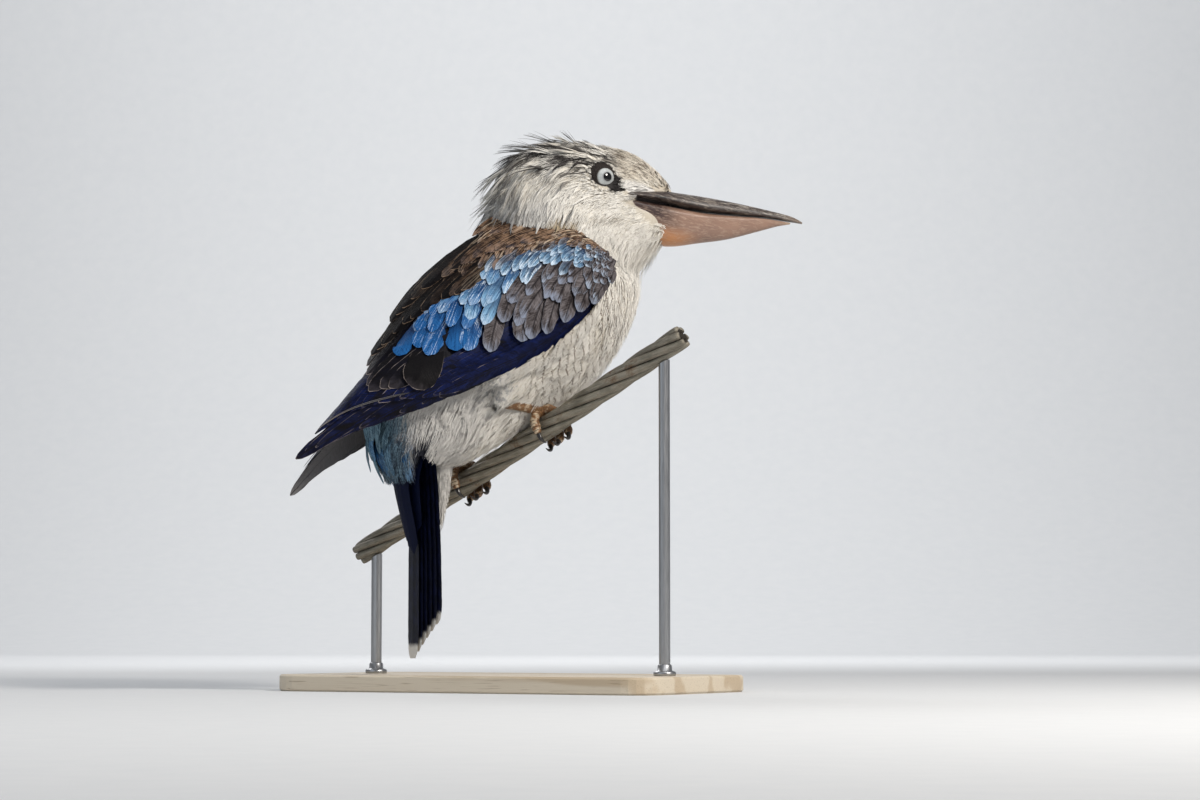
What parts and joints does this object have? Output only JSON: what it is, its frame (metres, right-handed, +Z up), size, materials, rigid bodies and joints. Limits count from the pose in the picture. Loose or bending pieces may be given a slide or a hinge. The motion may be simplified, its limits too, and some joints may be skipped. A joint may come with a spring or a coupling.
{
  "type": "blue-winged kookaburra gripping a length of cable",
  "caption": "Life-size still model of a male blue-winged kookaburra gripping a sloping length of twisted steel cable on a plain stand.",
  "frame": {"origin": "underside of the stand's base, below the middle of the bird", "axes": "+Z up; the bird's head points along +X and a little along +Y, with its right side towards -Y"},
  "size_m": [0.2891, 0.2078, 0.3021],
  "materials": {
    "cream_feather": "soft cream-white body feathers, finely lined with brown on the breast",
    "streaked_feather": "cream head feathers streaked with dark brown",
    "wing_feather": "wing feathers, brown, azure and navy",
    "navy_feather": "dark blue tail feathers with white tips",
    "upper_bill": "worn black-brown horn",
    "lower_bill": "pinkish brown horn",
    "eye": "glossy pale grey iris with a black pupil",
    "foot_skin": "scaly orange-brown skin",
    "claw": "glossy black horn",
    "cable_steel": "weathered twisted steel wires",
    "stand_steel": "brushed steel rod",
    "stand_base": "pale oiled wood with broken edges"
  },
  "bodies": {
    "root": {"head": "streaked_feather", "neck": "cream_feather", "torso": "cream_feather", "rump": "cream_feather", "tail": "navy_feather", "wing_right": "wing_feather", "wing_left": "wing_feather", "thigh_right": "cream_feather", "thigh_left": "cream_feather", "foot_right": "foot_skin", "foot_left": "foot_skin", "claw_right_inner": "claw", "claw_right_middle": "claw", "claw_right_outer": "claw", "claw_right_hind": "claw", "claw_left_inner": "claw", "claw_left_middle": "claw", "claw_left_outer": "claw", "claw_left_hind": "claw", "bill_upper": "upper_bill", "bill_lower": "lower_bill", "eye_right": "eye", "eye_left": "eye", "perch_cable": "cable_steel", "stand_base": "stand_base", "stand_rod_low": "stand_steel", "stand_rod_high": "stand_steel"}
  },
  "joints": []
}
